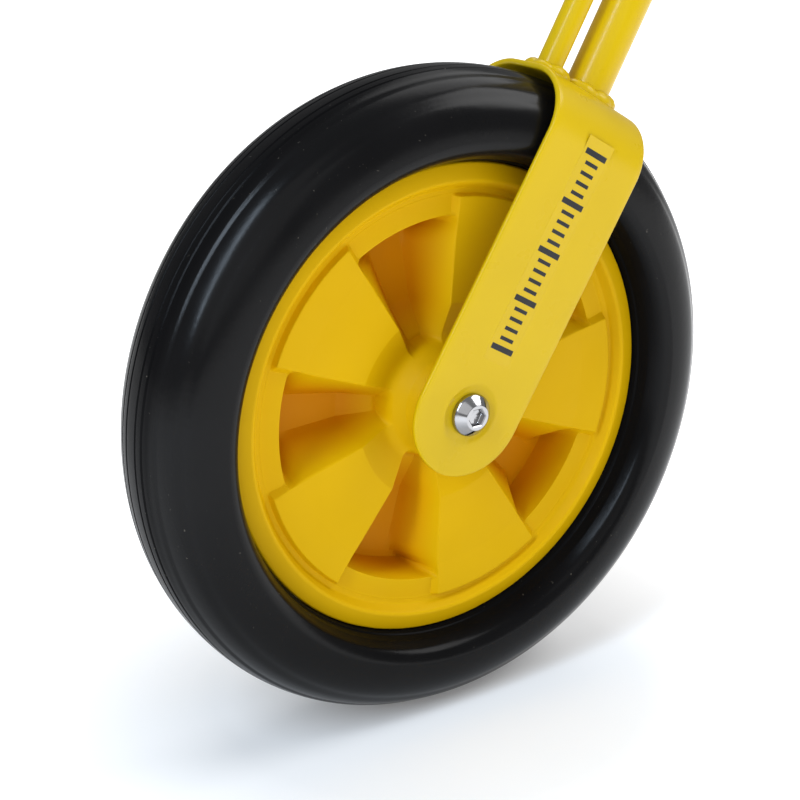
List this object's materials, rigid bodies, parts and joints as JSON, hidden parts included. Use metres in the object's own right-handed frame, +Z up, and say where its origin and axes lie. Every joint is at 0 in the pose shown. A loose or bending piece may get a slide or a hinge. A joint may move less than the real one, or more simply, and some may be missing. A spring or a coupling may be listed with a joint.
{
  "type": "measuring wheel",
  "caption": "One metre measuring wheel with a bent strip fork, leaning tubular handle, rod brake on the tyre and a drum distance counter.",
  "frame": {"origin": "point where the tyre touches the ground, in the wheel's middle plane", "axes": "+Z up, +Y along the axle towards the counter, +X towards the user, the way the handle leans"},
  "size_m": [0.8094, 0.1272, 0.9817],
  "materials": {
    "yellow_paint": "gloss powder coat",
    "yellow_plastic": "satin moulded",
    "tyre_rubber": "satin rubber",
    "black_rubber": "matte",
    "black_plastic": "fine grain",
    "white_plastic": "smooth",
    "chrome": "polished plate",
    "steel": "turned",
    "brass": "turned",
    "clear_plastic": "clear",
    "red_plastic": "smooth"
  },
  "bodies": {
    "frame": {"fork": "yellow_paint", "main_tube": "yellow_paint", "brake_tube": "yellow_paint", "weld_main": "yellow_paint", "weld_brake": "yellow_paint", "tube_clip_lower": "black_plastic", "tube_clip_upper": "black_plastic", "clip_screw_lower": "steel", "clip_screw_upper": "steel", "grip": "black_rubber", "grip_end_cap": "black_plastic", "lever_collar": "steel", "lever_pin": "chrome", "lever_spring": "steel", "axle_bolt": "chrome", "axle_washer": "chrome", "lock_nut": "chrome", "axle_spacer_near": "steel", "axle_spacer_far": "steel", "bearing_spacer": "steel", "bearing_inner_near": "steel", "bearing_inner_far": "steel", "counter_base": "black_plastic", "counter_cover": "black_plastic", "counter_window": "clear_plastic", "cover_screw_1": "steel", "cover_screw_2": "steel", "cover_screw_3": "steel", "base_screw_front": "steel", "base_screw_rear": "steel", "counter_bush": "brass", "carry_shaft": "steel", "carry_pinion_1": "white_plastic", "carry_pinion_2": "white_plastic", "carry_pinion_3": "white_plastic", "carry_pinion_4": "white_plastic"},
    "wheel": {"tyre": "tyre_rubber", "rim": "yellow_plastic", "bearing_outer_near": "steel", "bearing_outer_far": "steel", "bearing_balls_near": "steel", "bearing_balls_far": "steel", "hub_gear": "black_plastic"},
    "brake_lever": {"brake_lever": "black_plastic"},
    "brake_rod": {"brake_rod": "chrome", "brake_plug": "black_rubber"},
    "counter_drive": {"counter_pinion": "white_plastic", "counter_shaft": "steel", "drum_decimetre": "white_plastic"},
    "metre_drum": {"drum_metre": "white_plastic"},
    "ten_metre_drum": {"drum_ten_metre": "white_plastic"},
    "hundred_metre_drum": {"drum_hundred_metre": "white_plastic"},
    "thousand_metre_drum": {"drum_thousand_metre": "white_plastic"},
    "reset_button": {"reset_button": "red_plastic"}
  },
  "joints": [
    {"name": "wheel_spin", "type": "hinge", "parent": "frame", "child": "wheel", "pos_m": [0, 0, 0.15915], "axis": [0, 1, 0], "continuous": true},
    {"name": "brake_lever_turn", "type": "hinge", "parent": "frame", "child": "brake_lever", "pos_m": [0.44599, 0, 0.91203], "axis": [0, -1, 0], "range_deg": [0, 5], "stiffness_Nm_per_rad": 4, "springref_deg": -8.59},
    {"name": "brake_rod_slide", "type": "slide", "parent": "frame", "child": "brake_rod", "axis": [-0.5, 0, -0.866], "range_m": [0, 0.00237]},
    {"name": "reset_press", "type": "slide", "parent": "frame", "child": "reset_button", "axis": [-0.866, 0, 0.5], "range_m": [0, 0.0025], "stiffness_N_per_m": 400, "springref_m": -0.002},
    {"name": "counter_drive_spin", "type": "hinge", "parent": "frame", "child": "counter_drive", "pos_m": [0.0225, 0, 0.19813], "axis": [0, 1, 0], "continuous": true},
    {"name": "metre_drum_spin", "type": "hinge", "parent": "frame", "child": "metre_drum", "pos_m": [0.0225, 0, 0.19813], "axis": [0, 1, 0], "continuous": true},
    {"name": "ten_metre_drum_spin", "type": "hinge", "parent": "frame", "child": "ten_metre_drum", "pos_m": [0.0225, 0, 0.19813], "axis": [0, 1, 0], "continuous": true},
    {"name": "hundred_metre_drum_spin", "type": "hinge", "parent": "frame", "child": "hundred_metre_drum", "pos_m": [0.0225, 0, 0.19813], "axis": [0, 1, 0], "continuous": true},
    {"name": "thousand_metre_drum_spin", "type": "hinge", "parent": "frame", "child": "thousand_metre_drum", "pos_m": [0.0225, 0, 0.19813], "axis": [0, 1, 0], "continuous": true}
  ],
  "couplings": [
    {"joint": "counter_drive_spin", "follows": "wheel_spin", "ratio": -1},
    {"joint": "metre_drum_spin", "follows": "wheel_spin", "ratio": -0.1},
    {"joint": "ten_metre_drum_spin", "follows": "wheel_spin", "ratio": -0.01},
    {"joint": "hundred_metre_drum_spin", "follows": "wheel_spin", "ratio": -0.001},
    {"joint": "thousand_metre_drum_spin", "follows": "wheel_spin", "ratio": -0.0001},
    {"joint": "brake_lever_turn", "follows": "brake_rod_slide", "rad_per_m": 36.8}
  ]
}
